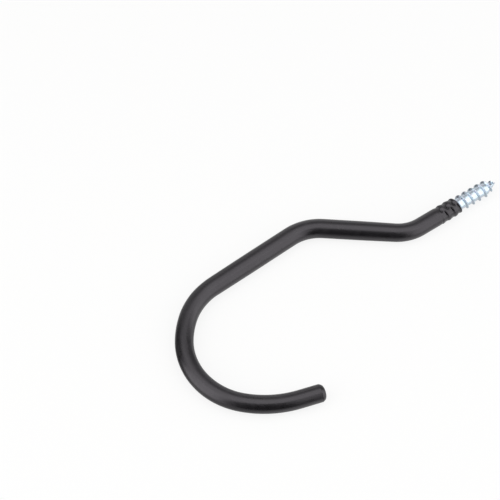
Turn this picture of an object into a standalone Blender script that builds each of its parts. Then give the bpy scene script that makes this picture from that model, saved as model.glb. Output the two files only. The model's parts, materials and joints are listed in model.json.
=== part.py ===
"""Screw-in storage hook for a bicycle: a bent steel rod with a wood-screw thread, in a black vinyl sleeve.

Frame: the origin lies on the screw's axis in the plane of the sleeve's open mouth. +X runs along the
screw to its point. The bends lie in the XY plane, so the hook rests on its side with +Z up.
The rod is followed from the screw backwards: shank, two offset bends, arm, bowl and nose.
"""

import math

import bmesh
import bpy
from mathutils import Matrix, Vector

MM = 0.001

# Round sections
SIDES = 24
BEND_STEP_DEG = 6.5
STRAIGHT_STEP = 13.0 * MM
SHARP_EDGE_DEG = 38.0

# Steel rod
ROD_RADIUS = 3.8 * MM
ROD_END_CHAMFER = 0.5 * MM

# The rod's route, from the sleeve's mouth to the rod's end in the nose
SHANK_LENGTH = 25.1 * MM
OUTWARD_BEND_RADIUS = 22.5 * MM
OUTWARD_BEND_DEG = 38.4
OFFSET_LENGTH = 39.5 * MM
RETURN_BEND_RADIUS = 26.9 * MM
RETURN_BEND_DEG = 41.5
ARM_LENGTH = 52.5 * MM
BOWL_ENTRY_RADIUS = 37.6 * MM
BOWL_ENTRY_DEG = 37.4
BOWL_BACK_RADIUS = 52.1 * MM
BOWL_BACK_DEG = 14.9
BOWL_MIDDLE_RADIUS = 38.2 * MM
BOWL_MIDDLE_DEG = 78.5
BOWL_EXIT_RADIUS = 58.4 * MM
BOWL_EXIT_DEG = 30.2
NOSE_LENGTH = 11.6 * MM

# Wood-screw thread, rolled on the rod's end: wide root flats and thin crests
SCREW_LENGTH = 27.4 * MM
THREAD_PITCH = 4.4 * MM
THREAD_ROOT_RADIUS = 3.4 * MM
THREAD_DEPTH = 1.2 * MM
THREAD_CREST_WIDTH = 0.35 * MM
THREAD_FLANK_DEG = 28.0
THREAD_CREST_AT = 2.8 * MM
THREAD_CLIMB_LENGTH = 2.2 * MM

# Gimlet point
POINT_LENGTH = 7.0 * MM
POINT_CREST_FADE = 1.9 * MM
POINT_RADIUS = 0.3 * MM
POINT_NIB_LENGTH = 0.35 * MM

# First turns of the thread, lower, which the sleeve covers
COVERED_THREAD_LENGTH = 12.0 * MM
COVERED_THREAD_DEPTH = 0.8 * MM
RUN_OUT_LENGTH = 2.6 * MM

# Vinyl sleeve over the rod
SLEEVE_GAP = 0.3 * MM
SLEEVE_WALL = 1.1 * MM
SLEEVE_END_WALL = 1.9 * MM
SLEEVE_END_ROUNDING = 3.0 * MM
END_ROUNDING_STEPS = 4

# The sleeve shrunk over the covered turns: ridges that are steep on the hook's side
SHRUNK_RIDGE_WALL = 0.65 * MM
SHRUNK_VALLEY_WALL = 0.75 * MM
SHRUNK_VALLEY_LIFT = 0.25 * MM
RIDGE_HOOK_FLANK = 1.4 * MM
RIDGE_SCREW_FLANK = 2.7 * MM
SHRINK_BLEND_LENGTH = 2.0 * MM
RIDGE_HOOK_SHARES = (1.0, 0.7, 0.35)
RIDGE_SCREW_SHARES = (0.3, 0.6)

# Finishes: colour, roughness, metallic
ZINC_PLATE = ((0.71, 0.74, 0.77), 0.28, 1.0)
SATIN_VINYL = ((0.028, 0.028, 0.031), 0.42, 0.0)

# Lengths that follow from the ones above
SLEEVE_BORE_RADIUS = ROD_RADIUS + SLEEVE_GAP
SLEEVE_RADIUS = SLEEVE_BORE_RADIUS + SLEEVE_WALL
COVERED_CREST_RADIUS = THREAD_ROOT_RADIUS + COVERED_THREAD_DEPTH
THREAD_START_X = -COVERED_THREAD_LENGTH
SHRINK_START_X = THREAD_START_X - SHRINK_BLEND_LENGTH
THREAD_FLANK_WIDTH = THREAD_DEPTH * math.tan(math.radians(THREAD_FLANK_DEG))

# Bmesh tolerances
WELD = 0.002 * MM
PLANE_TOLERANCE = 0.02 * MM


def clear_scene():
    """Remove whatever the file holds, so that a second run starts clean."""
    for obj in list(bpy.data.objects):
        bpy.data.objects.remove(obj, do_unlink=True)


def smooth_step(value):
    """Ease from 0 to 1 while the value goes from 0 to 1."""
    value = min(max(value, 0.0), 1.0)
    return value * value * (3.0 - 2.0 * value)


def mix(low, high, share):
    """Blend from low to high."""
    return low + (high - low) * share


def route():
    """The rod's stretches behind the shank, as (length,) for a straight one or (radius, degrees) for a bend.

    Positive degrees turn anticlockwise, seen from above.
    """
    return [
        (OUTWARD_BEND_RADIUS, -OUTWARD_BEND_DEG),
        (OFFSET_LENGTH,),
        (RETURN_BEND_RADIUS, RETURN_BEND_DEG),
        (ARM_LENGTH,),
        (BOWL_ENTRY_RADIUS, BOWL_ENTRY_DEG),
        (BOWL_BACK_RADIUS, BOWL_BACK_DEG),
        (BOWL_MIDDLE_RADIUS, BOWL_MIDDLE_DEG),
        (BOWL_EXIT_RADIUS, BOWL_EXIT_DEG),
    ]


def rim_verts(edges):
    """Each corner of a rim once."""
    return list({vert for edge in edges for vert in edge.verts})


def draw_straight(bm, rim, heading, length):
    """Extrude an open rim along its heading, in steps that keep the facets short."""
    steps = max(1, math.ceil(length / STRAIGHT_STEP))
    for _ in range(steps):
        made = bmesh.ops.extrude_edge_only(bm, edges=rim)["geom"]
        verts = {item for item in made if isinstance(item, bmesh.types.BMVert)}
        bmesh.ops.translate(bm, verts=list(verts), vec=heading * (length / steps))
        edges = [item for item in made if isinstance(item, bmesh.types.BMEdge)]
        rim = [edge for edge in edges if set(edge.verts) <= verts]
    return rim


def draw_bend(bm, rim, centre, heading, radius, degrees):
    """Spin an open rim round the bend's centre, and give the new rim, centre and heading."""
    side = math.copysign(1.0, degrees)
    to_pivot = Vector((-heading.y, heading.x, 0.0)) * side * radius
    turn = Matrix.Rotation(math.radians(degrees), 3, "Z")
    made = bmesh.ops.spin(
        bm,
        geom=rim_verts(rim) + list(rim),
        cent=centre + to_pivot,
        axis=(0.0, 0.0, 1.0),
        angle=math.radians(degrees),
        steps=math.ceil(abs(degrees) / BEND_STEP_DEG),
        use_merge=False,
        use_duplicate=False,
    )["geom_last"]
    rim = [item for item in made if isinstance(item, bmesh.types.BMEdge)]
    return rim, centre + to_pivot - turn @ to_pivot, turn @ heading


def draw_route(bm, rim, start_x, nose_length):
    """Carry an open rim from start_x on the shank round the bends to the end of the nose."""
    centre = Vector((start_x, 0.0, 0.0))
    heading = Vector((-1.0, 0.0, 0.0))
    shank_rest = SHANK_LENGTH + start_x
    for stretch in [(shank_rest,)] + route() + [(nose_length,)]:
        if len(stretch) == 1:
            rim = draw_straight(bm, rim, heading, stretch[0])
            centre = centre + heading * stretch[0]
        else:
            rim, centre, heading = draw_bend(bm, rim, centre, heading, *stretch)
    return rim


def close_end(bm, rim, width, steps):
    """Cap an open rim with a flat face and round or chamfer its edge."""
    bmesh.ops.contextual_create(bm, geom=list(rim))
    bmesh.ops.bevel(
        bm,
        geom=list(rim),
        offset=width,
        offset_type="OFFSET",
        affect="EDGES",
        segments=steps,
        profile=0.5,
        material=-1,
    )


def thread_phase(x, angle):
    """How far x lies past the nearest crest of the right-hand helix, at this angle about the screw."""
    turns = (x - THREAD_CREST_AT) / THREAD_PITCH - angle / math.tau
    return (turns - round(turns)) * THREAD_PITCH


def thread_height(x, angle):
    """Share of the thread's depth: 1 on the crest's flat, 0 on the root's."""
    past_flat = abs(thread_phase(x, angle)) - THREAD_CREST_WIDTH / 2.0
    return min(max(1.0 - past_flat / THREAD_FLANK_WIDTH, 0.0), 1.0)


def root_radius(x):
    """The rod sinks to the root where the thread starts, and narrows to a cone at the point."""
    sunk = smooth_step((x - THREAD_START_X) / RUN_OUT_LENGTH)
    root = mix(ROD_RADIUS, THREAD_ROOT_RADIUS, sunk)
    cone = (SCREW_LENGTH - POINT_NIB_LENGTH - x) / (POINT_LENGTH - POINT_NIB_LENGTH)
    return mix(POINT_RADIUS, root, min(max(cone, 0.0), 1.0))


def crest_radius(x):
    """Crests run out towards the shank, stay low under the sleeve and fade at the point."""
    run_out = smooth_step((x - THREAD_START_X) / RUN_OUT_LENGTH)
    climbed = smooth_step(x / THREAD_CLIMB_LENGTH)
    fade = smooth_step((SCREW_LENGTH - POINT_NIB_LENGTH - x) / POINT_CREST_FADE)
    depth = mix(COVERED_THREAD_DEPTH, THREAD_DEPTH, climbed) * fade
    return root_radius(x) + depth * run_out


def threaded_radius(x, angle):
    """The screw's radius, at this angle about it."""
    return mix(root_radius(x), crest_radius(x), thread_height(x, angle))


def ridge_height(x, angle):
    """Share of a ridge that the covered crest raises in the sleeve, steeper on the hook's side."""
    past_crest = thread_phase(x, angle)
    if past_crest >= 0.0:
        return smooth_step(1.0 - past_crest / RIDGE_SCREW_FLANK)
    before_crest = -past_crest
    hook_side = smooth_step(1.0 - before_crest / RIDGE_HOOK_FLANK)
    last_ridge = smooth_step(1.0 - (THREAD_PITCH - before_crest) / RIDGE_SCREW_FLANK)
    return max(hook_side, last_ridge)


def shrunk_share(x):
    """0 where the sleeve is plain, 1 where it is shrunk over the thread."""
    return smooth_step((x - SHRINK_START_X) / SHRINK_BLEND_LENGTH)


def sleeve_bore(x, angle):
    """The sleeve's inner radius: a gap off the rod, and off each covered crest."""
    lift = SHRUNK_VALLEY_LIFT * smooth_step((x - THREAD_START_X) / RUN_OUT_LENGTH)
    valley = root_radius(x) + SLEEVE_GAP + lift
    ridge = max(valley, mix(ROD_RADIUS, COVERED_CREST_RADIUS, shrunk_share(x)) + SLEEVE_GAP)
    return mix(valley, ridge, ridge_height(x, angle) * shrunk_share(x))


def sleeve_skin(x, angle):
    """The sleeve's outer radius: its wall thins where it is shrunk over the thread."""
    shrunk_wall = mix(SHRUNK_VALLEY_WALL, SHRUNK_RIDGE_WALL, ridge_height(x, angle))
    return sleeve_bore(x, angle) + mix(SLEEVE_WALL, shrunk_wall, shrunk_share(x))


def thread_offsets():
    """Places on one pitch of the thread, from its crest: both flanks' ends."""
    flat = THREAD_CREST_WIDTH / 2.0
    foot = flat + THREAD_FLANK_WIDTH
    return [-foot, -flat, flat, foot]


def ridge_offsets():
    """Places on one pitch of the sleeve's ridges, from its crest."""
    hook_side = [-RIDGE_HOOK_FLANK * share for share in RIDGE_HOOK_SHARES]
    screw_side = [RIDGE_SCREW_FLANK * share for share in RIDGE_SCREW_SHARES]
    return hook_side + [0.0] + screw_side


def cut_across(bm, x, keep_screw_side):
    """Cut an open shell square to the screw, and give the new rim, all of it exactly at x."""
    bmesh.ops.bisect_plane(
        bm,
        geom=bm.verts[:] + bm.edges[:] + bm.faces[:],
        dist=PLANE_TOLERANCE,
        plane_co=(x, 0.0, 0.0),
        plane_no=(1.0, 0.0, 0.0),
        clear_inner=keep_screw_side,
        clear_outer=not keep_screw_side,
    )
    on_plane = {vert for vert in bm.verts if abs(vert.co.x - x) <= 2.0 * PLANE_TOLERANCE}
    rim = [edge for edge in bm.edges if edge.is_boundary and set(edge.verts) <= on_plane]
    for vert in rim_verts(rim):
        vert.co.x = x
    return rim


def helical_shell(offsets, low_x, high_x, radius_at):
    """Sweep one pitch of a profile up the helix, cut it square at both ends and set its radii.

    Gives a bmesh, open at both ends, with its edges along the crests.
    """
    bm = bmesh.new()
    start = THREAD_CREST_AT + offsets[0]
    first_turn = math.floor((low_x - start) / THREAD_PITCH) - 1
    turns = math.ceil((high_x - start) / THREAD_PITCH) + 1 - first_turn
    places = [offset - offsets[0] for offset in offsets] + [THREAD_PITCH]
    shift = start + first_turn * THREAD_PITCH
    profile = [bm.verts.new((place + shift, ROD_RADIUS, 0.0)) for place in places]
    edges = [bm.edges.new(pair) for pair in zip(profile, profile[1:])]
    bmesh.ops.spin(
        bm,
        geom=profile + edges,
        cent=(0.0, 0.0, 0.0),
        axis=(1.0, 0.0, 0.0),
        dvec=(THREAD_PITCH / SIDES, 0.0, 0.0),
        angle=turns * math.tau,
        steps=turns * SIDES,
        use_merge=False,
        use_duplicate=False,
    )
    bmesh.ops.remove_doubles(bm, verts=bm.verts[:], dist=WELD)
    cut_across(bm, low_x, True)
    cut_across(bm, high_x, False)
    for vert in bm.verts:
        angle = math.atan2(vert.co.z, vert.co.y)
        radius = radius_at(vert.co.x, angle)
        vert.co.y = radius * math.cos(angle)
        vert.co.z = radius * math.sin(angle)
    return bm


def rim_at(bm, x):
    """The open rim that lies square to the screw at x."""
    return [
        edge
        for edge in bm.edges
        if edge.is_boundary and all(abs(vert.co.x - x) < WELD for vert in edge.verts)
    ]


def ring(bm, x, radius):
    """A round rim about the screw's axis, with a corner on the +Y side as the thread's rims have."""
    place = Matrix.Translation((x, 0.0, 0.0)) @ Matrix.Rotation(math.radians(90.0), 4, "Y")
    verts = bmesh.ops.create_circle(bm, cap_ends=False, segments=SIDES, radius=radius, matrix=place)["verts"]
    return list({edge for vert in verts for edge in vert.link_edges})


def join_shell(bm, shell):
    """Copy a shell's faces into bm."""
    mesh = bpy.data.meshes.new("shell")
    shell.to_mesh(mesh)
    shell.free()
    bm.from_mesh(mesh)
    bpy.data.meshes.remove(mesh)


def bridge(bm, first_rim, second_rim):
    """Join two rims that lie apart along the screw."""
    bmesh.ops.bridge_loops(bm, edges=list(first_rim) + list(second_rim))


def finish_object(name, bm, material, parent):
    """Turn a bmesh into a smooth-shaded object with its material."""
    bmesh.ops.recalc_face_normals(bm, faces=bm.faces[:])
    mesh = bpy.data.meshes.new(name)
    bm.to_mesh(mesh)
    bm.free()
    mesh.shade_smooth()
    mesh.set_sharp_from_angle(angle=math.radians(SHARP_EDGE_DEG))
    mesh.materials.append(material)
    obj = bpy.data.objects.new(name, mesh)
    obj.parent = parent
    bpy.context.scene.collection.objects.link(obj)
    return obj


def principled(name, finish):
    """A material from a finish: colour, roughness, metallic."""
    colour, roughness, metallic = finish
    material = bpy.data.materials.new(name)
    material.use_nodes = True
    shader = material.node_tree.nodes["Principled BSDF"]
    shader.inputs["Base Color"].default_value = (*colour, 1.0)
    shader.inputs["Roughness"].default_value = roughness
    shader.inputs["Metallic"].default_value = metallic
    return material


def steel_rod(parent):
    """One rod: bent by its end for the hook, and rolled to a wood-screw thread with a gimlet point."""
    nib_x = SCREW_LENGTH - POINT_NIB_LENGTH
    shank_x = THREAD_START_X - RUN_OUT_LENGTH
    bm = bmesh.new()
    join_shell(bm, helical_shell(thread_offsets(), THREAD_START_X, nib_x, threaded_radius))
    point = bmesh.ops.extrude_edge_only(bm, edges=rim_at(bm, nib_x))["geom"]
    point_verts = [item for item in point if isinstance(item, bmesh.types.BMVert)]
    bmesh.ops.pointmerge(bm, verts=point_verts, merge_co=(SCREW_LENGTH, 0.0, 0.0))
    thread_rim = rim_at(bm, THREAD_START_X)
    shank_rim = ring(bm, shank_x, ROD_RADIUS)
    end_rim = draw_route(bm, shank_rim, shank_x, NOSE_LENGTH)
    bridge(bm, thread_rim, shank_rim)
    close_end(bm, end_rim, ROD_END_CHAMFER, 1)
    zinc = principled("zinc_plated_steel", ZINC_PLATE)
    return finish_object("steel_rod", bm, zinc, parent)


def sleeve_layer(radius_at, plain_radius, nose_length):
    """One surface of the sleeve, open at the mouth and at the nose, with the rim at its nose."""
    plain_x = SHRINK_START_X - SHRINK_BLEND_LENGTH
    layer = helical_shell(ridge_offsets(), SHRINK_START_X, 0.0, radius_at)
    plain_rim = ring(layer, plain_x, plain_radius)
    end_rim = draw_route(layer, plain_rim, plain_x, nose_length)
    bridge(layer, rim_at(layer, SHRINK_START_X), plain_rim)
    return layer, end_rim


def draw_mouth(bore):
    """Extrude the bore's rim outwards to the skin's, which makes the flat face round the mouth."""
    made = bmesh.ops.extrude_edge_only(bore, edges=rim_at(bore, 0.0))["geom"]
    for vert in [item for item in made if isinstance(item, bmesh.types.BMVert)]:
        angle = math.atan2(vert.co.z, vert.co.y)
        vert.co.y = sleeve_skin(0.0, angle) * math.cos(angle)
        vert.co.z = sleeve_skin(0.0, angle) * math.sin(angle)


def vinyl_sleeve(parent):
    """One sleeve: closed and rounded at the nose, shrunk over the thread's first turns at its mouth."""
    bm = bmesh.new()
    blind_end = NOSE_LENGTH + SLEEVE_GAP
    skin, skin_end = sleeve_layer(sleeve_skin, SLEEVE_RADIUS, blind_end + SLEEVE_END_WALL)
    close_end(skin, skin_end, SLEEVE_END_ROUNDING, END_ROUNDING_STEPS)
    join_shell(bm, skin)
    bore, bore_end = sleeve_layer(sleeve_bore, SLEEVE_BORE_RADIUS, blind_end)
    bmesh.ops.contextual_create(bore, geom=bore_end)
    draw_mouth(bore)
    join_shell(bm, bore)
    bmesh.ops.remove_doubles(bm, verts=rim_verts(rim_at(bm, 0.0)), dist=WELD)
    vinyl = principled("black_vinyl", SATIN_VINYL)
    return finish_object("vinyl_sleeve", bm, vinyl, parent)


def main():
    clear_scene()
    frame = bpy.data.objects.new("screw_hook_frame", None)
    bpy.context.scene.collection.objects.link(frame)
    steel_rod(frame)
    vinyl_sleeve(frame)


main()
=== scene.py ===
"""Looks for a screw-in bicycle hook: zinc-plated rod, black vinyl sleeve and a small white studio.

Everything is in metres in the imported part's frame. The origin lies on the screw's axis in the plane
of the sleeve's open mouth, +X runs along the screw to its point, and the bends lie in the XY plane.
"""

import json
import logging
import math
from collections.abc import Callable, Iterable
from dataclasses import dataclass, field
from enum import Enum

import bmesh
import bpy
from mathutils import Matrix, Vector, noise

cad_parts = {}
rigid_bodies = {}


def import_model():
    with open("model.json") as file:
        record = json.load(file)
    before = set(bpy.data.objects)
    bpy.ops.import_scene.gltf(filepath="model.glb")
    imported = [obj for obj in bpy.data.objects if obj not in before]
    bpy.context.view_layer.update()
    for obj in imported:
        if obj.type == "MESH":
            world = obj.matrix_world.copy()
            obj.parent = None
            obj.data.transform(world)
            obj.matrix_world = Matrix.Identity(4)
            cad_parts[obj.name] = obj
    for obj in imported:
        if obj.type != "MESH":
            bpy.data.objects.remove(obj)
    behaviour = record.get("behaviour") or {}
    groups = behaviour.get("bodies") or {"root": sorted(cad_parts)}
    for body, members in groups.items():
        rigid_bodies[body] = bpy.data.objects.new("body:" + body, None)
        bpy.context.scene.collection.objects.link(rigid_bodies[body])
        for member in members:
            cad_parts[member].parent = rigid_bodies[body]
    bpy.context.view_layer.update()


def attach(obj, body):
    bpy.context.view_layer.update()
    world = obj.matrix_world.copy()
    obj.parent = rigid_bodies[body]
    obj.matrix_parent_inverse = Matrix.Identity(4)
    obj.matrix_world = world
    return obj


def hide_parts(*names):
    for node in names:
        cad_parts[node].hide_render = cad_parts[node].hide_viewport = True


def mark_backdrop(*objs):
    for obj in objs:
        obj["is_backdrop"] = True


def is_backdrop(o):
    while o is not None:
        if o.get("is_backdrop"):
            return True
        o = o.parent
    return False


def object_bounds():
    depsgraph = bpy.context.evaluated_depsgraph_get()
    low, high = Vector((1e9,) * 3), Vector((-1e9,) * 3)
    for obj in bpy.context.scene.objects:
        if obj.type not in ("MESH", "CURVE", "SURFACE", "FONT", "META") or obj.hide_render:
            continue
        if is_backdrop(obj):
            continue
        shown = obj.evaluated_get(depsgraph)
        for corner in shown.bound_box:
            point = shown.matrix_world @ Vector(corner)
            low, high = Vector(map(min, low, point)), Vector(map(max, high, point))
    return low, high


MM = 0.001
LOG = logging.getLogger("bicycle_hook")
BODY = "root"
SAME_PLACE = 0.002 * MM
WHITE = (1.0, 1.0, 1.0, 1.0)

for leftover in list(bpy.data.objects):
    bpy.data.objects.remove(leftover, do_unlink=True)
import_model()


class Side(Enum):
    """The two ways along the screw's axis."""

    SCREW = 1.0
    HOOK = -1.0


def linear(code: str) -> tuple[float, float, float, float]:
    """Turn an sRGB hex colour into the linear values that a socket takes.

    Args:
        code: Six hex digits after a hash, as in "#c8ccd0".

    Returns:
        Linear red, green, blue and a full alpha.
    """
    channels = [int(code[place : place + 2], 16) / 255.0 for place in (1, 3, 5)]
    straight = [c / 12.92 if c <= 0.04045 else ((c + 0.055) / 1.055) ** 2.4 for c in channels]
    return (*straight, 1.0)


def add_node(
    tree: bpy.types.NodeTree, kind: str, sockets: dict | None = None, **settings: object
) -> bpy.types.Node:
    """Add one node with its settings, and fill or link its input sockets.

    Args:
        tree: The node tree that the node goes into.
        kind: Blender's type name of the node.
        sockets: Input name or number to a value, or to the output socket that feeds it.
        **settings: The node's own properties.

    Returns:
        The new node.
    """
    made = tree.nodes.new(kind)
    for name, value in settings.items():
        setattr(made, name, value)
    for name, value in (sockets or {}).items():
        if isinstance(value, bpy.types.NodeSocket):
            tree.links.new(value, made.inputs[name])
        else:
            made.inputs[name].default_value = value
    return made


def smooth_step(value: float) -> float:
    """Ease from 0 to 1 while the value goes from 0 to 1."""
    value = min(max(value, 0.0), 1.0)
    return value * value * (3.0 - 2.0 * value)


def mix(low: float, high: float, share: float) -> float:
    """Blend from low to high."""
    return low + (high - low) * share


def rim_verts(edges: Iterable[bmesh.types.BMEdge]) -> list[bmesh.types.BMVert]:
    """Each corner of a rim once, in a fixed order."""
    return list(dict.fromkeys(vert for edge in edges for vert in edge.verts))


def made_verts(geometry: Iterable) -> list[bmesh.types.BMVert]:
    """The corners among the geometry that an operator made."""
    return [item for item in geometry if isinstance(item, bmesh.types.BMVert)]


def made_edges(geometry: Iterable) -> list[bmesh.types.BMEdge]:
    """The edges among the geometry that an operator made."""
    return [item for item in geometry if isinstance(item, bmesh.types.BMEdge)]


def angle_of(vert: bmesh.types.BMVert) -> float:
    """A corner's angle about the screw's axis, from +Y towards +Z."""
    return math.atan2(vert.co.z, vert.co.y)


def set_radius(vert: bmesh.types.BMVert, radius: float, angle: float) -> None:
    """Move a corner square to the screw's axis, to a radius and an angle about it."""
    vert.co.y = radius * math.cos(angle)
    vert.co.z = radius * math.sin(angle)


def mesh_from(name: str, bm: bmesh.types.BMesh) -> bpy.types.Mesh:
    """Turn a bmesh into a mesh, and free the bmesh.

    Args:
        name: The mesh's name.
        bm: The bmesh.

    Returns:
        The mesh.
    """
    mesh = bpy.data.meshes.new(name)
    bm.to_mesh(mesh)
    bm.free()
    return mesh


def link_object(name: str, data: bpy.types.ID) -> bpy.types.Object:
    """Put a new object in the scene, at the origin.

    Args:
        name: The object's name.
        data: Its mesh, lamp or camera.

    Returns:
        The object.
    """
    obj = bpy.data.objects.new(name, data)
    bpy.context.scene.collection.objects.link(obj)
    return obj


def copy_into(bm: bmesh.types.BMesh, shell: bmesh.types.BMesh) -> None:
    """Copy a shell's faces into bm, and free the shell.

    Args:
        bm: The bmesh that takes the faces.
        shell: The bmesh that gives them.
    """
    mesh = mesh_from("shell", shell)
    bm.from_mesh(mesh)
    bpy.data.meshes.remove(mesh)


def rim_at(bm: bmesh.types.BMesh, x: float) -> list[bmesh.types.BMEdge]:
    """The open rim that lies square to the screw at x.

    Args:
        bm: The bmesh to look in.
        x: Place along the screw's axis.

    Returns:
        The rim's edges.
    """
    return [e for e in bm.edges if e.is_boundary and all(abs(v.co.x - x) < SAME_PLACE for v in e.verts)]


@dataclass(frozen=True)
class HookRoute:
    """The bent rod's centreline, from the sleeve's mouth to the nose. Its bends are (radius, degrees)."""

    shank: float = 25.1 * MM
    outward_bend: tuple[float, float] = (22.5 * MM, -38.4)
    offset: float = 39.5 * MM
    return_bend: tuple[float, float] = (26.9 * MM, 41.5)
    arm: float = 52.5 * MM
    bowl: tuple[tuple[float, float], ...] = (
        (37.6 * MM, 37.4),
        (52.1 * MM, 14.9),
        (38.2 * MM, 78.5),
        (58.4 * MM, 30.2),
    )
    nose: float = 11.6 * MM
    # The longest steps between two rings of the mesh.
    straight_step: float = 2.5 * MM
    bend_step_deg: float = 2.6

    def stretches(self) -> list[tuple[float, ...]]:
        """The stretches behind the shank: (length,) for a straight one, (radius, degrees) for a bend."""
        return [self.outward_bend, (self.offset,), self.return_bend, (self.arm,), *self.bowl]


@dataclass
class TubePen:
    """Draws a tube ring by ring from an open rim, and keeps the place and heading of its end."""

    bm: bmesh.types.BMesh
    rim: list[bmesh.types.BMEdge]
    centre: Vector
    radius: float
    section: Callable[[float], float]
    along: bmesh.types.BMLayerItem
    distance: float = 0.0
    heading: Vector = field(default_factory=lambda: Vector((-1.0, 0.0, 0.0)))

    def land(self, step: float) -> None:
        """Give the newest ring its radius and its distance from the mouth.

        Args:
            step: How far the ring lies beyond the last one, along the centreline.
        """
        self.distance += step
        target = self.section(self.distance)
        verts = rim_verts(self.rim)
        share = target / self.radius
        bmesh.ops.scale(
            self.bm, vec=(share, share, share), space=Matrix.Translation(-self.centre), verts=verts
        )
        self.radius = target
        for vert in verts:
            vert[self.along] = self.distance

    def go_straight(self, length: float, step: float) -> None:
        """Extrude the rim along its heading.

        Args:
            length: How far.
            step: The longest distance between two rings.
        """
        count = max(1, math.ceil(length / step))
        for _ in range(count):
            made = bmesh.ops.extrude_edge_only(self.bm, edges=self.rim)["geom"]
            verts = set(made_verts(made))
            self.rim = [edge for edge in made_edges(made) if set(edge.verts) <= verts]
            move = self.heading * (length / count)
            bmesh.ops.translate(self.bm, verts=list(verts), vec=move)
            self.centre = self.centre + move
            self.land(length / count)

    def go_round(self, radius: float, degrees: float, step_deg: float) -> None:
        """Spin the rim round a bend.

        Args:
            radius: The bend's radius at the centreline.
            degrees: How far it turns, anticlockwise as seen from above.
            step_deg: The largest turn between two rings.
        """
        count = math.ceil(abs(degrees) / step_deg)
        turn = math.radians(degrees) / count
        for _ in range(count):
            side = math.copysign(radius, degrees)
            to_pivot = Vector((-self.heading.y, self.heading.x, 0.0)) * side
            made = bmesh.ops.spin(
                self.bm,
                geom=rim_verts(self.rim) + self.rim,
                cent=self.centre + to_pivot,
                axis=(0.0, 0.0, 1.0),
                angle=turn,
                steps=1,
                use_merge=False,
                use_duplicate=False,
            )["geom_last"]
            self.rim = made_edges(made)
            turned = Matrix.Rotation(turn, 3, "Z")
            self.centre = self.centre + to_pivot - turned @ to_pivot
            self.heading = turned @ self.heading
            self.land(abs(turn) * radius)

    def follow(self, route: HookRoute, nose: float) -> None:
        """Draw the route's stretches and then the nose.

        Args:
            route: The centreline to follow.
            nose: Length of the last straight stretch.
        """
        for stretch in route.stretches():
            if len(stretch) == 1:
                self.go_straight(stretch[0], route.straight_step)
            else:
                self.go_round(*stretch, route.bend_step_deg)
        self.go_straight(nose, route.straight_step)


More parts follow.
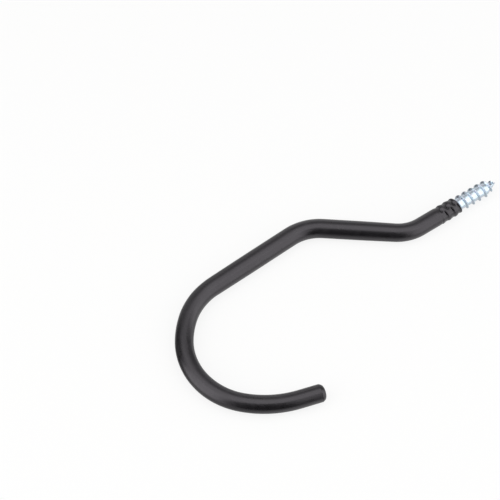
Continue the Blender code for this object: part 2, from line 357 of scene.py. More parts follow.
@dataclass(frozen=True)
class WoodThread:
    """The rolled wood-screw thread: wide root flats, thin crests and a gimlet point."""

    rod_radius: float = 3.8 * MM
    # The rolled profile. The fillet at the foot of the ridge rises a little less than its own width.
    pitch: float = 4.4 * MM
    root: float = 3.4 * MM
    depth: float = 1.2 * MM
    crest_width: float = 0.35 * MM
    flank_deg: float = 28.0
    fillet: float = 0.12 * MM
    fillet_rise: float = 0.9
    # Where the first bare crest passes +Y, and how soon the thread has its full depth past the mouth.
    crest_at: float = 2.9 * MM
    climb: float = 2.2 * MM
    # The gimlet point.
    length: float = 27.4 * MM
    point: float = 7.0 * MM
    point_fade: float = 1.9 * MM
    point_radius: float = 0.3 * MM
    nib: float = 0.35 * MM
    # The low turns under the sleeve.
    covered: float = 12.0 * MM
    covered_depth: float = 0.8 * MM
    run_out: float = 2.6 * MM
    # What rolling leaves on the crest: the lap of the metal and a slight wander of the height.
    lap_depth: float = 0.07 * MM
    lap_share: float = 0.25
    wander: float = 0.05 * MM
    wander_size: float = 2.2 * MM
    wander_swing: float = 1.6
    # The mesh.
    foot_margin: float = 0.2 * MM
    sides: int = 96

    def flank(self) -> float:
        """How much of the axis one flank takes."""
        return self.depth * math.tan(math.radians(self.flank_deg))

    def phase(self, x: float, angle: float) -> float:
        """How far x lies past the nearest crest of the right-hand helix.

        Args:
            x: Place along the axis.
            angle: Angle about the axis, from +Y towards +Z.

        Returns:
            The distance along the axis, at most half a pitch either way.
        """
        turns = (x - self.crest_at) / self.pitch - angle / math.tau
        return (turns - round(turns)) * self.pitch

    def height(self, x: float, angle: float) -> float:
        """Share of the thread's depth: 1 on the crest, 0 on the root, with a fillet at the foot.

        Args:
            x: Place along the axis.
            angle: Angle about the axis.

        Returns:
            The share.
        """
        past_flat = abs(self.phase(x, angle)) - self.crest_width / 2.0
        if past_flat <= 0.0:
            return 1.0
        straight = max(1.0 - past_flat / self.flank(), 0.0)
        fillet = self.fillet / self.depth
        into_fillet = max(past_flat - self.flank() * (1.0 - fillet), 0.0)
        foot = max(1.0 - into_fillet / (2.0 * fillet * self.flank()), 0.0)
        return max(straight, foot * foot * fillet * self.fillet_rise)

    def started(self, x: float) -> float:
        """0 on the plain rod, 1 where the thread's run-out ends."""
        return smooth_step((x + self.covered) / self.run_out)

    def root_radius(self, x: float) -> float:
        """The root's radius: it sinks below the rod's where the thread starts, and is a cone at the point.

        Args:
            x: Place along the axis.

        Returns:
            The radius.
        """
        cylinder = mix(self.rod_radius, self.root, self.started(x))
        cone = (self.length - self.nib - x) / (self.point - self.nib)
        return mix(self.point_radius, cylinder, min(max(cone, 0.0), 1.0))

    def crest_radius(self, x: float) -> float:
        """The crest's radius: low under the sleeve, run out at the shank and faded at the point.

        Args:
            x: Place along the axis.

        Returns:
            The radius.
        """
        depth = mix(self.covered_depth, self.depth, smooth_step(x / self.climb))
        fade = smooth_step((self.length - self.nib - x) / self.point_fade)
        return self.root_radius(x) + depth * fade * self.started(x)

    def radius(self, x: float, angle: float) -> float:
        """The screw's radius, with the lap that rolling leaves along the crest and its slight wander.

        Args:
            x: Place along the axis.
            angle: Angle about the axis.

        Returns:
            The radius.
        """
        share = self.height(x, angle)
        lap = max(1.0 - abs(self.phase(x, angle)) / (self.crest_width * self.lap_share), 0.0)
        swing = self.wander_swing
        spot = Vector((x / self.wander_size, swing * math.cos(angle), swing * math.sin(angle)))
        uneven = noise.noise(spot) * self.wander * share * share
        crest = self.crest_radius(x) + uneven - lap * self.lap_depth
        return mix(self.root_radius(x), crest, share)

    def offsets(self) -> list[float]:
        """Places on one pitch, from its crest, where the mesh has an edge along the helix.

        Returns:
            The places in order.
        """
        flat = self.crest_width / 2.0
        foot = flat + self.flank()
        on_flank = [mix(flat, foot, 0.4), mix(flat, foot, 0.75)]
        half = [0.0, flat * 0.5, flat, *on_flank, foot, foot + self.foot_margin]
        return sorted({-place for place in half} | set(half) | {mix(foot, self.pitch / 2.0, 0.75)})


def cut_across(bm: bmesh.types.BMesh, x: float, keep: Side) -> None:
    """Cut an open shell square to the screw, and put the new rim exactly at x.

    Args:
        bm: The shell.
        x: Where to cut.
        keep: The side of the cut that stays.
    """
    near = 0.02 * MM
    bmesh.ops.bisect_plane(
        bm,
        geom=bm.verts[:] + bm.edges[:] + bm.faces[:],
        dist=near,
        plane_co=(x, 0.0, 0.0),
        plane_no=(1.0, 0.0, 0.0),
        clear_inner=keep is Side.SCREW,
        clear_outer=keep is Side.HOOK,
    )
    on_plane = {vert for vert in bm.verts if abs(vert.co.x - x) <= 2.0 * near}
    for vert in rim_verts(e for e in bm.edges if e.is_boundary and set(e.verts) <= on_plane):
        vert.co.x = x


def open_ring(bm: bmesh.types.BMesh, x: float, radius: float, sides: int) -> list[bmesh.types.BMEdge]:
    """A round rim about the screw's axis, facing along it.

    Args:
        bm: The bmesh that takes it.
        x: Place along the axis.
        radius: The rim's radius.
        sides: How many edges it has.

    Returns:
        The rim's edges.
    """
    place = Matrix.Translation((x, 0.0, 0.0)) @ Matrix.Rotation(math.radians(90.0), 4, "Y")
    made = bmesh.ops.create_circle(bm, cap_ends=False, segments=sides, radius=radius, matrix=place)
    return list(dict.fromkeys(edge for vert in made["verts"] for edge in vert.link_edges))


def round_end(bm: bmesh.types.BMesh, rim: list[bmesh.types.BMEdge], width: float, steps: int) -> None:
    """Cap an open rim with a flat face and round its edge.

    Args:
        bm: The tube.
        rim: Its open rim.
        width: How far the rounding reaches from the edge.
        steps: Its segments.
    """
    bmesh.ops.contextual_create(bm, geom=rim)
    bmesh.ops.bevel(
        bm,
        geom=rim,
        offset=width,
        offset_type="OFFSET",
        affect="EDGES",
        segments=steps,
        profile=0.5,
        material=-1,
    )


def finish_piece(
    name: str, bm: bmesh.types.BMesh, material: bpy.types.Material, sharp_deg: float
) -> bpy.types.Object:
    """Turn a bmesh into a smooth-shaded object at the origin.

    Args:
        name: The object's name.
        bm: Its closed mesh, which is freed.
        material: Its finish.
        sharp_deg: Edges that turn by more than this stay sharp.

    Returns:
        The object.
    """
    bmesh.ops.recalc_face_normals(bm, faces=bm.faces[:])
    mesh = mesh_from(name, bm)
    mesh.shade_smooth()
    mesh.set_sharp_from_angle(angle=math.radians(sharp_deg))
    mesh.materials.append(material)
    return link_object(name, mesh)


@dataclass(frozen=True)
class Tint:
    """One tint of a thin film: its colour, its strength and the noise values between which it comes in."""

    colour: str
    strength: float
    starts_at: float
    full_at: float


@dataclass(frozen=True)
class ZincPlate:
    """Bright zinc, electroplated on rolled steel and blue-passivated."""

    # root is a darker colour than ridge: painted shade that tones down the bright highlight on the
    # thread's root.
    root: str = "#bec7cf"
    ridge: str = "#c8d2db"
    ridge_full_at: float = 0.35
    film: tuple[Tint, ...] = (Tint("#f2fbfe", 0.9, 0.42, 0.62), Tint("#fff5ff", 0.8, 0.5, 0.36))
    root_roughness: float = 0.25
    ridge_roughness: float = 0.28
    streaks: float = 0.07
    tint_size: float = 1.9 * MM
    line_spacing: float = 0.22 * MM
    line_length: float = 8.333 * MM
    line_depth: float = 0.02 * MM
    dent_size: float = 0.8 * MM
    dent_depth: float = 0.06 * MM

    def material(self) -> bpy.types.Material:
        """Build the node material.

        Returns:
            The material.
        """
        made = bpy.data.materials.new("zinc_plated_steel")
        made.use_nodes = True
        tree = made.node_tree
        shader = tree.nodes["Principled BSDF"]
        shader.inputs["Metallic"].default_value = 1.0
        place = add_node(tree, "ShaderNodeTexCoord").outputs["Object"]
        # The ridge is a little coarser than the root, and the root's colour is darker: painted shade that
        # tones down the bright highlight on the root.
        height = add_node(tree, "ShaderNodeAttribute", attribute_name="thread_height")
        ridge_share = add_node(
            tree,
            "ShaderNodeMapRange",
            {"Value": height.outputs["Fac"], "From Max": self.ridge_full_at},
            interpolation_type="SMOOTHSTEP",
        )
        plain = add_node(
            tree,
            "ShaderNodeMix",
            {0: ridge_share.outputs["Result"], 6: linear(self.root), 7: linear(self.ridge)},
            data_type="RGBA",
        )
        # The chromate film over the zinc is a few hundred nanometres thick, so its tint shifts in patches
        # from blue to lilac.
        patches = add_node(
            tree,
            "ShaderNodeTexNoise",
            {"Vector": place, "Scale": 1.0 / self.tint_size, "Detail": 2.0, "Roughness": 0.6},
        )
        colour = plain.outputs[2]
        for tint in self.film:
            share = add_node(
                tree,
                "ShaderNodeMapRange",
                {
                    "Value": patches.outputs["Fac"],
                    "From Min": tint.starts_at,
                    "From Max": tint.full_at,
                    "To Max": tint.strength,
                },
                interpolation_type="SMOOTHSTEP",
            )
            tinted = add_node(
                tree,
                "ShaderNodeMix",
                {0: share.outputs["Result"], 6: colour, 7: linear(tint.colour)},
                data_type="RGBA",
                blend_type="MULTIPLY",
            )
            colour = tinted.outputs[2]
        tree.links.new(colour, shader.inputs["Base Color"])
        # Rolling dies leave fine lines round the blank, drawn coarser here than the real 0.05 mm.
        squeezed = add_node(
            tree,
            "ShaderNodeMapping",
            {
                "Vector": place,
                "Scale": (1.0 / self.line_spacing, 1.0 / self.line_length, 1.0 / self.line_length),
            },
        )
        lines = add_node(
            tree, "ShaderNodeTexNoise", {"Vector": squeezed.outputs["Vector"], "Scale": 1.0, "Detail": 2.0}
        )
        dull = add_node(
            tree,
            "ShaderNodeMapRange",
            {
                "Value": ridge_share.outputs["Result"],
                "To Min": self.root_roughness,
                "To Max": self.ridge_roughness,
            },
        )
        rough = add_node(
            tree,
            "ShaderNodeMath",
            {0: lines.outputs["Fac"], 1: 2.0 * self.streaks, 2: dull.outputs["Result"]},
            operation="MULTIPLY_ADD",
        )
        tree.links.new(rough.outputs["Value"], shader.inputs["Roughness"])
        rolled = add_node(
            tree,
            "ShaderNodeBump",
            {"Height": lines.outputs["Fac"], "Strength": 0.35, "Distance": self.line_depth},
        )
        # Screws tumble in the plating barrel, and the small dents break up the reflections.
        dents = add_node(
            tree, "ShaderNodeTexNoise", {"Vector": place, "Scale": 1.0 / self.dent_size, "Detail": 2.0}
        )
        dented = add_node(
            tree,
            "ShaderNodeBump",
            {
                "Height": dents.outputs["Fac"],
                "Strength": 0.6,
                "Distance": self.dent_depth,
                "Normal": rolled.outputs["Normal"],
            },
        )
        tree.links.new(dented.outputs["Normal"], shader.inputs["Normal"])
        return made


@dataclass(frozen=True)
class SatinVinyl:
    """Soft black PVC, extruded as a tube and shrunk on, with a satin skin."""

    base: str = "#121113"
    scuffed: str = "#212023"
    sheen: str = "#fdf7ff"
    roughness: tuple[float, float] = (0.27, 0.37)
    ior: float = 1.54
    peel_size: float = 1.1 * MM
    peel_depth: float = 0.03 * MM
    draw_width: float = 0.45 * MM
    draw_length: float = 14.0 * MM
    draw_depth: float = 0.02 * MM
    scuff_size: float = 3.5 * MM

    def material(self) -> bpy.types.Material:
        """Build the node material.

        Returns:
            The material.
        """
        made = bpy.data.materials.new("black_vinyl")
        made.use_nodes = True
        tree = made.node_tree
        shader = tree.nodes["Principled BSDF"]
        shader.inputs["IOR"].default_value = self.ior
        # The skin mirrors the lamps with a faint violet cast, as the pigment leans that way too.
        shader.inputs["Specular Tint"].default_value = linear(self.sheen)
        place = add_node(tree, "ShaderNodeTexCoord").outputs["Object"]
        # The UV map holds millimetres: along the tube and round it.
        flow = add_node(tree, "ShaderNodeUVMap", uv_map="tube_mm").outputs["UV"]
        # Extrusion leaves long, shallow draw lines on the skin.
        stretched = add_node(
            tree,
            "ShaderNodeMapping",
            {"Vector": flow, "Scale": (MM / self.draw_length, MM / self.draw_width, 1.0)},
        )
        lines = add_node(
            tree,
            "ShaderNodeTexNoise",
            {"Vector": stretched.outputs["Vector"], "Scale": 1.0, "Detail": 2.0},
        )
        # The skin has a faint orange peel, and handling has scuffed it in patches.
        peel = add_node(
            tree, "ShaderNodeTexNoise", {"Vector": place, "Scale": 1.0 / self.peel_size, "Detail": 1.0}
        )
        patches = add_node(
            tree,
            "ShaderNodeTexNoise",
            {"Vector": place, "Scale": 1.0 / self.scuff_size, "Detail": 4.0, "Roughness": 0.65},
        )
        scuffs = add_node(
            tree,
            "ShaderNodeMapRange",
            {"Value": patches.outputs["Fac"], "From Min": 0.56, "From Max": 0.78, "To Max": 0.5},
            interpolation_type="SMOOTHSTEP",
        )
        coloured = add_node(
            tree,
            "ShaderNodeMix",
            {0: scuffs.outputs["Result"], 6: linear(self.base), 7: linear(self.scuffed)},
            data_type="RGBA",
        )
        tree.links.new(coloured.outputs[2], shader.inputs["Base Color"])
        rough = add_node(
            tree,
            "ShaderNodeMapRange",
            {
                "Value": patches.outputs["Fac"],
                "From Min": 0.35,
                "From Max": 0.7,
                "To Min": self.roughness[0],
                "To Max": self.roughness[1],
            },
        )
        tree.links.new(rough.outputs["Result"], shader.inputs["Roughness"])
        drawn = add_node(
            tree,
            "ShaderNodeBump",
            {"Height": lines.outputs["Fac"], "Strength": 0.3, "Distance": self.draw_depth},
        )
        peeled = add_node(
            tree,
            "ShaderNodeBump",
            {
                "Height": peel.outputs["Fac"],
                "Strength": 0.35,
                "Distance": self.peel_depth,
                "Normal": drawn.outputs["Normal"],
            },
        )
        tree.links.new(peeled.outputs["Normal"], shader.inputs["Normal"])
        return made


@dataclass
class SteelRod:
    """The bent steel rod with its rolled and zinc-plated wood screw."""

    thread: WoodThread
    route: HookRoute
    finish: ZincPlate
    end_chamfer: float = 0.5 * MM
    end_steps: int = 2
    blank_sides: int = 48
    sharp_deg: float = 50.0

    def threaded_shell(self) -> bmesh.types.BMesh:
        """Sweep one pitch of the thread's profile up the helix and set its radii.

        Returns:
            The screw's skin, open at the shank and at the nib.
        """
        thread = self.thread
        low_x, high_x = -thread.covered, thread.length - thread.nib
        offsets = thread.offsets()
        bm = bmesh.new()
        start = thread.crest_at + offsets[0]
        first_turn = math.floor((low_x - start) / thread.pitch) - 1
        turns = math.ceil((high_x - start) / thread.pitch) + 1 - first_turn
        shift = thread.crest_at + first_turn * thread.pitch
        places = [offset + shift for offset in offsets] + [offsets[0] + shift + thread.pitch]
        profile = [bm.verts.new((place, thread.rod_radius, 0.0)) for place in places]
        edges = [bm.edges.new(pair) for pair in zip(profile, profile[1:])]
        bmesh.ops.spin(
            bm,
            geom=profile + edges,
            cent=(0.0, 0.0, 0.0),
            axis=(1.0, 0.0, 0.0),
            dvec=(thread.pitch / thread.sides, 0.0, 0.0),
            angle=turns * math.tau,
            steps=turns * thread.sides,
            use_merge=False,
            use_duplicate=False,
        )
        bmesh.ops.remove_doubles(bm, verts=bm.verts[:], dist=SAME_PLACE)
        cut_across(bm, low_x, Side.SCREW)
        cut_across(bm, high_x, Side.HOOK)
        height = bm.verts.layers.float.new("thread_height")
        for vert in bm.verts:
            angle = angle_of(vert)
            vert[height] = thread.height(vert.co.x, angle)
            set_radius(vert, thread.radius(vert.co.x, angle), angle)
        return bm

    def build(self) -> bpy.types.Object:
        """Build the rod from its nib to its chamfered end in the nose.

        Returns:
            The rod, dressed.
        """
        thread = self.thread
        bm = self.threaded_shell()
        tip = bmesh.ops.extrude_edge_only(bm, edges=rim_at(bm, thread.length - thread.nib))["geom"]
        bmesh.ops.pointmerge(bm, verts=made_verts(tip), merge_co=(thread.length, 0.0, 0.0))
        shank_x = -thread.covered - thread.run_out
        shank = open_ring(bm, shank_x, thread.rod_radius, self.blank_sides)
        along = bm.verts.layers.float.new("along")
        radius = thread.rod_radius
        pen = TubePen(bm, shank, Vector((shank_x, 0.0, 0.0)), radius, lambda _: radius, along)
        pen.go_straight(self.route.shank + shank_x, self.route.straight_step)
        pen.follow(self.route, self.route.nose)
        bmesh.ops.bridge_loops(bm, edges=rim_at(bm, -thread.covered) + rim_at(bm, shank_x))
        round_end(bm, pen.rim, self.end_chamfer, self.end_steps)
        rod = finish_piece("zinc_plated_rod", bm, self.finish.material(), self.sharp_deg)
        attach(rod, BODY)
        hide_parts("steel_rod")
        return rod


@dataclass
class VinylSleeve:
    """The black sleeve: rounded at the nose, shrunk over the thread's first turns at its mouth."""

    thread: WoodThread
    route: HookRoute
    finish: SatinVinyl
    # How the vinyl lies on the screw: its clearance, its wall and its unevenness.
    gap: float = 0.08 * MM
    valley_lift: float = 0.45 * MM
    ridge_wall: float = 0.85 * MM
    valley_wall: float = 0.8 * MM
    uneven: float = 0.06 * MM
    uneven_size: float = 2.4 * MM
    uneven_swing: float = 1.9
    # The ridges that the covered turns raise, and how far back from the mouth they reach.
    hook_flank: float = 1.4 * MM
    screw_flank: float = 2.7 * MM
    shrunk: float = 14.0 * MM
    blend: float = 2.0 * MM
    # The mouth: its rounded lip, the neck behind it, and the slant and drawn-out corner of its cut.
    lip: float = 0.55 * MM
    lip_share: float = 0.8
    neck_at: float = 1.8 * MM
    neck_width: float = 0.85 * MM
    neck_depth: float = 0.13 * MM
    corner_neck: float = 0.34 * MM
    cut_tilt: float = 0.66 * MM
    cut_tilt_deg: float = 28.4
    cut_back: float = 0.17 * MM
    cut_corner: float = 0.5 * MM
    cut_corner_deg: float = 35.0
    cut_reach: float = 4.0 * MM
    # The pinched creases: their phase is their place on the pitch, and the border parts their two spans.
    crease_reach: tuple[float, float] = (-11.5 * MM, -2.4 * MM)
    crease_border: float = -7.2 * MM
    crease_phase: float = -0.86 * MM
    crease_width: float = 0.3 * MM
    crease_depth: float = 0.74 * MM
    crease_spans_deg: tuple[tuple[float, float], ...] = ((104.0, 147.0), (107.0, 150.0))
    crease_fade_deg: float = 7.0
    # The dimples between the ridges.
    dimple_reach: tuple[float, float] = (-14.0 * MM, -0.8 * MM)
    dimple_phase: float = 2.4 * MM
    dimple_width: float = 1.1 * MM
    dimple_depth: float = 0.55 * MM
    dimple_at_deg: float = 91.0
    dimple_span_deg: float = 13.0
    # The closed nose.
    end_wall: float = 2.2 * MM
    end_rounding: float = 3.0 * MM
    end_steps: int = 10
    # The mesh.
    sides: int = 144
    lip_steps: int = 6
    fine_step: float = 0.17 * MM
    bore_step: float = 0.5 * MM
    sharp_deg: float = 40.0
    # The outer radius at some distances from the mouth, measured along the centreline.
    fullness: tuple[tuple[float, float], ...] = (
        (0.0, 4.95 * MM),
        (20.0 * MM, 4.97 * MM),
        (65.0 * MM, 5.32 * MM),
        (125.0 * MM, 5.34 * MM),
        (147.0 * MM, 5.24 * MM),
        (158.0 * MM, 5.1 * MM),
        (185.0 * MM, 5.0 * MM),
        (222.0 * MM, 5.12 * MM),
        (245.0 * MM, 4.98 * MM),
        (285.0 * MM, 4.88 * MM),
    )

    def plain_radius(self, distance: float) -> float:
        """The plain tube's radius: the sleeve is stretched a little more on some stretches than on others.

        Args:
            distance: Distance from the mouth along the centreline.

        Returns:
            The radius.
        """
        for (near, low), (far, high) in zip(self.fullness, self.fullness[1:]):
            if distance <= far:
                return mix(low, high, smooth_step((distance - near) / (far - near)))
        return self.fullness[-1][1]

    def shrunk_share(self, x: float) -> float:
        """0 where the sleeve is plain, 1 where it is shrunk over the thread."""
        return smooth_step((x + self.shrunk) / self.blend)

    def ridge(self, x: float, angle: float) -> float:
        """Share of a ridge that a covered crest raises, steeper on the hook's side.

        Args:
            x: Place along the axis.
            angle: Angle about the axis.

        Returns:
            The share.
        """
        past_crest = self.thread.phase(x, angle)
        if past_crest >= 0.0:
            return smooth_step(1.0 - past_crest / self.screw_flank)
        hook_side = smooth_step(1.0 + past_crest / self.hook_flank)
        last_ridge = smooth_step(1.0 - (self.thread.pitch + past_crest) / self.screw_flank)
        return max(hook_side, last_ridge)

    def bore_radius(self, x: float, angle: float) -> float:
        """The sleeve's inner radius over the screw.

        Args:
            x: Place along the axis.
            angle: Angle about the axis.

        Returns:
            The radius.
        """
        thread, share = self.thread, self.shrunk_share(x)
        valley = thread.root_radius(x) + self.gap + self.valley_lift * thread.started(x)
        crest = mix(thread.rod_radius, thread.root + thread.covered_depth, share) + self.gap
        return mix(valley, max(valley, crest), self.ridge(x, angle) * share)

    def crease(self, x: float, angle: float) -> float:
        """Depth of the pinched creases that run beside two ridges, on the front and on the back.

        Args:
            x: Place along the axis.
            angle: Angle about the axis.

        Returns:
            The depth.
        """
        low, high = self.crease_reach
        if not low < x < high:
            return 0.0
        start, end = self.crease_spans_deg[0 if x > self.crease_border else 1]
        across = (self.thread.phase(x, angle) - self.crease_phase) / self.crease_width
        degrees, fade = math.degrees(angle) % 180.0, self.crease_fade_deg
        ends = smooth_step((degrees - start) / fade) * smooth_step((end - degrees) / fade)
        return self.crease_depth * math.exp(-across * across * 2.0) * ends

    def dimple(self, x: float, angle: float) -> float:
        """Depth of the dents between the ridges, on the front and on the back, where the skin is drawn in.

        Args:
            x: Place along the axis.
            angle: Angle about the axis.

        Returns:
            The depth.
        """
        low, high = self.dimple_reach
        if not low < x < high:
            return 0.0
        off = self.thread.phase(x, angle) - self.dimple_phase
        across = (off - self.thread.pitch * round(off / self.thread.pitch)) / self.dimple_width
        around = (math.degrees(angle) % 180.0 - self.dimple_at_deg) / self.dimple_span_deg
        return self.dimple_depth * math.exp(-across * across - around * around)

    def corner_share(self, angle: float) -> float:
        """How near an angle round the mouth is to its drawn-out lower corner, from 0 to 1."""
        off = (math.degrees(angle) - self.cut_tilt_deg) % 360.0 - 180.0
        return math.exp(-((off / self.cut_corner_deg) ** 2))

    def skin_radius(self, x: float, angle: float) -> float:
        """The sleeve's outer radius over the screw, rounded in at the mouth's lip.

        Args:
            x: Place along the axis.
            angle: Angle about the axis.

        Returns:
            The radius.
        """
        share, swing = self.shrunk_share(x), self.uneven_swing
        shrunk = self.bore_radius(x, angle) + mix(self.valley_wall, self.ridge_wall, self.ridge(x, angle))
        radius = mix(self.plain_radius(-x), shrunk, share) - self.crease(x, angle)
        spot = Vector((x / self.uneven_size, swing * math.cos(angle), swing * math.sin(angle)))
        radius += noise.noise(spot) * self.uneven * share
        neck = self.neck_depth + self.corner_neck * self.corner_share(angle)
        radius -= neck * math.exp(-(((x + self.neck_at) / self.neck_width) ** 2))
        radius -= self.dimple(x, angle) * share
        into_lip = min(max(1.0 + x / self.lip, 0.0), 1.0)
        return radius - self.lip * (1.0 - math.sqrt(1.0 - into_lip * into_lip)) * self.lip_share

    def slant_cut(self, bm: bmesh.types.BMesh) -> None:
        """Slant the mouth a little, as a sleeve cut by hand is.

        Args:
            bm: The skin or the bore, with its mouth at x = 0.
        """
        for vert in bm.verts:
            share = smooth_step(1.0 + vert.co.x / self.cut_reach)
            angle = angle_of(vert)
            tilt = self.cut_tilt * math.cos(angle - math.radians(self.cut_tilt_deg))
            vert.co.x += share * (self.cut_corner * self.corner_share(angle) - self.cut_back - tilt)

    def draw_skin(self) -> bmesh.types.BMesh:
        """Draw the outer surface from the mouth's lip to the rounded nose.

        Returns:
            The skin, open at the mouth.
        """
        bm = bmesh.new()
        along, around = bm.verts.layers.float.new("along"), bm.verts.layers.float.new("around")
        rim = open_ring(bm, 0.0, self.plain_radius(0.0), self.sides)
        for vert in bm.verts:
            vert[around] = angle_of(vert) % math.tau
        pen = TubePen(bm, rim, Vector((0.0, 0.0, 0.0)), self.plain_radius(0.0), self.plain_radius, along)
        pen.go_straight(self.lip, self.lip / self.lip_steps)
        pen.go_straight(self.shrunk + self.blend - self.lip, self.fine_step)
        for vert in bm.verts:
            set_radius(vert, self.skin_radius(vert.co.x, vert[around]), vert[around])
        pen.go_straight(self.route.shank - self.shrunk - self.blend, self.route.straight_step)
        pen.follow(self.route, self.route.nose + self.end_wall)
        round_end(bm, pen.rim, self.end_rounding, self.end_steps)
        self.map_tube(bm, along, around)
        return bm

    def map_tube(
        self, bm: bmesh.types.BMesh, along: bmesh.types.BMLayerItem, around: bmesh.types.BMLayerItem
    ) -> None:
        """Write the UV map that the finish's draw lines follow, in millimetres along and round the tube.

        Args:
            bm: The skin.
            along: Each corner's distance from the mouth.
            around: Each corner's angle about the centreline.
        """
        uv = bm.loops.layers.uv.new("tube_mm")
        for face in bm.faces:
            angles = [loop.vert[around] for loop in face.loops]
            wraps = max(angles) - min(angles) > math.pi
            for loop, angle in zip(face.loops, angles):
                unrolled = angle + math.tau if wraps and angle < math.pi else angle
                loop[uv].uv = (loop.vert[along] / MM, unrolled * self.plain_radius(0.0) / MM)

    def draw_bore(self) -> bmesh.types.BMesh:
        """Draw the inner surface and the mouth's flat end, which meets the skin's rim.

        Returns:
            The bore, open at its outer rim.
        """
        bm = bmesh.new()
        along, around = bm.verts.layers.float.new("along"), bm.verts.layers.float.new("around")
        plain = self.thread.rod_radius + self.gap
        rim = open_ring(bm, 0.0, plain, self.sides)
        for vert in bm.verts:
            vert[around] = angle_of(vert) % math.tau
        pen = TubePen(bm, rim, Vector((0.0, 0.0, 0.0)), plain, lambda _: plain, along)
        pen.go_straight(self.shrunk + self.blend, self.bore_step)
        for vert in bm.verts:
            set_radius(vert, self.bore_radius(vert.co.x, vert[around]), vert[around])
        pen.go_straight(self.route.shank - self.shrunk - self.blend, self.route.straight_step)
        pen.follow(self.route, self.route.nose + self.gap)
        bmesh.ops.contextual_create(bm, geom=pen.rim)
        made = bmesh.ops.extrude_edge_only(bm, edges=rim_at(bm, 0.0))["geom"]
        for vert in made_verts(made):
            angle = angle_of(vert)
            set_radius(vert, self.skin_radius(0.0, angle), angle)
        return bm

    def build(self) -> bpy.types.Object:
        """Build the sleeve as one closed body.

        Returns:
            The sleeve, dressed.
        """
        bm = bmesh.new()
        copy_into(bm, self.draw_skin())
        copy_into(bm, self.draw_bore())
        bmesh.ops.remove_doubles(bm, verts=rim_verts(rim_at(bm, 0.0)), dist=2.0 * SAME_PLACE)
        self.slant_cut(bm)
        sleeve = finish_piece("black_vinyl_sleeve", bm, self.finish.material(), self.sharp_deg)
        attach(sleeve, BODY)
        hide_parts("vinyl_sleeve")
        return sleeve


@dataclass(frozen=True)
class Softbox:
    """One soft lamp: where it stands, how large it is and how bright its face is."""

    name: str
    bearing_deg: float
    polar_deg: float
    width: float
    height: float
    radiance: float


@dataclass(frozen=True)
class Card:
    """One grey card that stands in reflections only, as photographers use to edge a glossy tube."""

    name: str
    bearing_deg: float
    polar_deg: float
    width: float
    height: float
    level: float


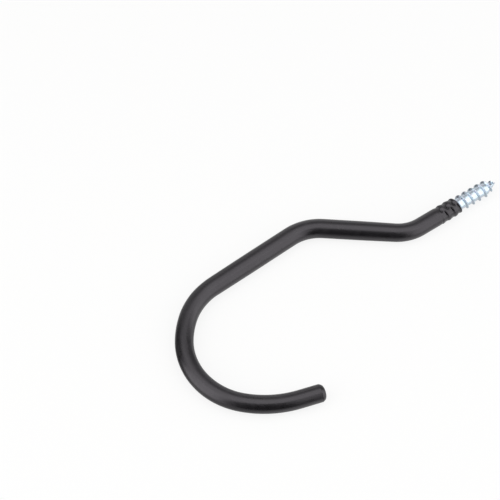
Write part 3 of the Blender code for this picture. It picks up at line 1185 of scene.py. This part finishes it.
@dataclass
class Studio:
    """The white table, the soft lamps and the camera, whose bearings count from the picture's right."""

    floor_z: float
    target: tuple[float, float, float] = (-109.28 * MM, 43.19 * MM, -5.0 * MM)
    picture_right_deg: float = -34.455
    camera_bearing_deg: float = 270.0
    camera_polar_deg: float = 33.0
    camera_distance: float = 1031.358 * MM
    lens: float = 135.0
    lamp_distance: float = 1.0
    card_distance: float = 1.3
    softboxes: tuple[Softbox, ...] = (
        Softbox("top_softbox", 270.0, 1.5, 1.3, 0.95, 1.05),
        Softbox("left_softbox", 207.0, 65.5, 1.0, 1.42, 1.53),
        Softbox("right_softbox", 342.0, 64.0, 1.6, 1.32, 1.12),
    )
    cards: tuple[Card, ...] = (
        Card("front_card", 274.0, 67.5, 1.55, 2.04, 0.03),
        Card("left_card", 161.0, 83.0, 0.9, 1.6, 0.12),
        Card("low_left_card", 171.0, 112.0, 0.78, 1.0, 0.12),
        Card("right_card", 42.0, 68.0, 0.8, 1.25, 0.3),
        Card("back_card", 97.0, 47.0, 1.9, 0.55, 0.5),
        Card("far_card", 125.0, 92.0, 0.9, 1.0, 0.64),
        Card("bounce_card", 326.0, 136.0, 2.3, 1.5, 1.1),
        Card("table_card", 0.0, 180.0, 6.0, 6.0, 0.68),
    )
    fill: float = 0.35
    paper: str = "#f4f4f2"
    paper_roughness: float = 0.9
    paper_lift: float = 0.84
    floor_size: float = 6.0

    def direction(self, bearing_deg: float, polar_deg: float) -> Vector:
        """The way from the hook to something in the studio.

        Args:
            bearing_deg: Its bearing, anticlockwise from the picture's right.
            polar_deg: Its angle from straight up.

        Returns:
            A unit vector.
        """
        bearing = math.radians(bearing_deg + self.picture_right_deg)
        polar = math.radians(polar_deg)
        out = math.sin(polar)
        return Vector((math.cos(bearing) * out, math.sin(bearing) * out, math.cos(polar)))

    def aim(self, obj: bpy.types.Object, way: Vector, distance: float) -> None:
        """Place something in the studio, turned to face the hook.

        Args:
            obj: What to place.
            way: The unit vector from the hook to it.
            distance: How far it stands.
        """
        obj.location = Vector(self.target) + way * distance
        obj.rotation_mode = "QUATERNION"
        obj.rotation_quaternion = (-way).to_track_quat("-Z", "Y")

    def hang_softbox(self, box: Softbox) -> None:
        """Hang one soft lamp.

        Args:
            box: The lamp's sizes.
        """
        light = bpy.data.lights.new(box.name, "AREA")
        light.shape = "RECTANGLE"
        light.size, light.size_y = box.width, box.height
        light.energy = box.radiance * math.pi * box.width * box.height
        way = self.direction(box.bearing_deg, box.polar_deg)
        self.aim(link_object(box.name, light), way, self.lamp_distance)

    def stand_card(self, card: Card) -> bpy.types.Object:
        """Stand one grey card that only reflections see.

        Args:
            card: The card's sizes.

        Returns:
            The card.
        """
        bm = bmesh.new()
        bmesh.ops.create_grid(bm, x_segments=1, y_segments=1, size=0.5)
        bmesh.ops.scale(bm, vec=(card.width, card.height, 1.0), verts=bm.verts[:])
        mesh = mesh_from(card.name, bm)
        made = bpy.data.materials.new(card.name)
        made.use_nodes = True
        tree = made.node_tree
        tree.nodes.remove(tree.nodes["Principled BSDF"])
        grey = (card.level, card.level, card.level, 1.0)
        glow = add_node(tree, "ShaderNodeEmission", {"Color": grey, "Strength": 1.0})
        tree.links.new(glow.outputs["Emission"], tree.nodes["Material Output"].inputs["Surface"])
        mesh.materials.append(made)
        obj = link_object(card.name, mesh)
        self.aim(obj, self.direction(card.bearing_deg, card.polar_deg), self.card_distance)
        obj.visible_camera = False
        obj.visible_diffuse = False
        obj.visible_shadow = False
        return obj

    def paper_material(self) -> bpy.types.Material:
        """White paper: the lamps light it, and the camera sees it lifted to white, with the shadow kept.

        Returns:
            The material.
        """
        made = bpy.data.materials.new("white_paper")
        made.use_nodes = True
        tree = made.node_tree
        shader = tree.nodes["Principled BSDF"]
        shader.inputs["Base Color"].default_value = linear(self.paper)
        shader.inputs["Roughness"].default_value = self.paper_roughness
        rays = add_node(tree, "ShaderNodeLightPath")
        lift = add_node(tree, "ShaderNodeEmission", {"Color": WHITE, "Strength": 1.0})
        seen = add_node(
            tree,
            "ShaderNodeMath",
            {0: rays.outputs["Is Camera Ray"], 1: self.paper_lift},
            operation="MULTIPLY",
        )
        lifted = add_node(
            tree,
            "ShaderNodeMixShader",
            {0: seen.outputs["Value"], 1: shader.outputs["BSDF"], 2: lift.outputs["Emission"]},
        )
        tree.links.new(lifted.outputs["Shader"], tree.nodes["Material Output"].inputs["Surface"])
        return made

    def lay_floor(self) -> bpy.types.Object:
        """Lay the table under the hook.

        Returns:
            The floor.
        """
        bm = bmesh.new()
        bmesh.ops.create_grid(
            bm,
            x_segments=1,
            y_segments=1,
            size=self.floor_size / 2.0,
            matrix=Matrix.Translation((self.target[0], self.target[1], self.floor_z)),
        )
        mesh = mesh_from("paper_floor", bm)
        mesh.materials.append(self.paper_material())
        floor = link_object("paper_floor", mesh)
        floor.visible_glossy = False
        return floor

    def light_world(self) -> None:
        """White to the camera and in reflections, dimmer as fill light."""
        world = bpy.data.worlds.new("studio")
        world.use_nodes = True
        tree = world.node_tree
        tree.nodes.remove(tree.nodes["Background"])
        rays = add_node(tree, "ShaderNodeLightPath")
        mirrored = add_node(
            tree,
            "ShaderNodeMath",
            {0: rays.outputs["Is Glossy Ray"], 1: rays.outputs["Is Transmission Ray"]},
            operation="MAXIMUM",
        )
        shown = add_node(
            tree,
            "ShaderNodeMath",
            {0: rays.outputs["Is Camera Ray"], 1: mirrored.outputs["Value"]},
            operation="MAXIMUM",
        )
        dim = add_node(tree, "ShaderNodeBackground", {"Color": WHITE, "Strength": self.fill})
        bright = add_node(tree, "ShaderNodeBackground", {"Color": WHITE, "Strength": 1.0})
        both = add_node(
            tree,
            "ShaderNodeMixShader",
            {0: shown.outputs["Value"], 1: dim.outputs["Background"], 2: bright.outputs["Background"]},
        )
        tree.links.new(both.outputs["Shader"], tree.nodes["World Output"].inputs["Surface"])
        bpy.context.scene.world = world

    def set_camera(self) -> None:
        """Set the camera where the photograph was taken from."""
        data = bpy.data.cameras.new("camera")
        data.lens = self.lens
        data.sensor_width = 36.0
        data.clip_start, data.clip_end = 0.05, 20.0
        camera = link_object("camera", data)
        way = self.direction(self.camera_bearing_deg, self.camera_polar_deg)
        self.aim(camera, way, self.camera_distance)
        bpy.context.scene.camera = camera

    def build(self) -> None:
        """Set up the whole studio."""
        for box in self.softboxes:
            self.hang_softbox(box)
        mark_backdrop(self.lay_floor(), *[self.stand_card(card) for card in self.cards])
        self.light_world()
        self.set_camera()
        bpy.context.scene.view_settings.view_transform = "Standard"


def main() -> None:
    logging.basicConfig(level=logging.INFO, format="%(name)s: %(message)s")
    thread, route = WoodThread(), HookRoute()
    for builder in (SteelRod(thread, route, ZincPlate()), VinylSleeve(thread, route, SatinVinyl())):
        piece = builder.build()
        LOG.info("%s: %d faces", piece.name, len(piece.data.polygons))
    low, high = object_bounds()
    Studio(floor_z=low.z).build()
    LOG.info("studio: floor at %.2f mm", low.z / MM)


if __name__ == "__main__":
    main()
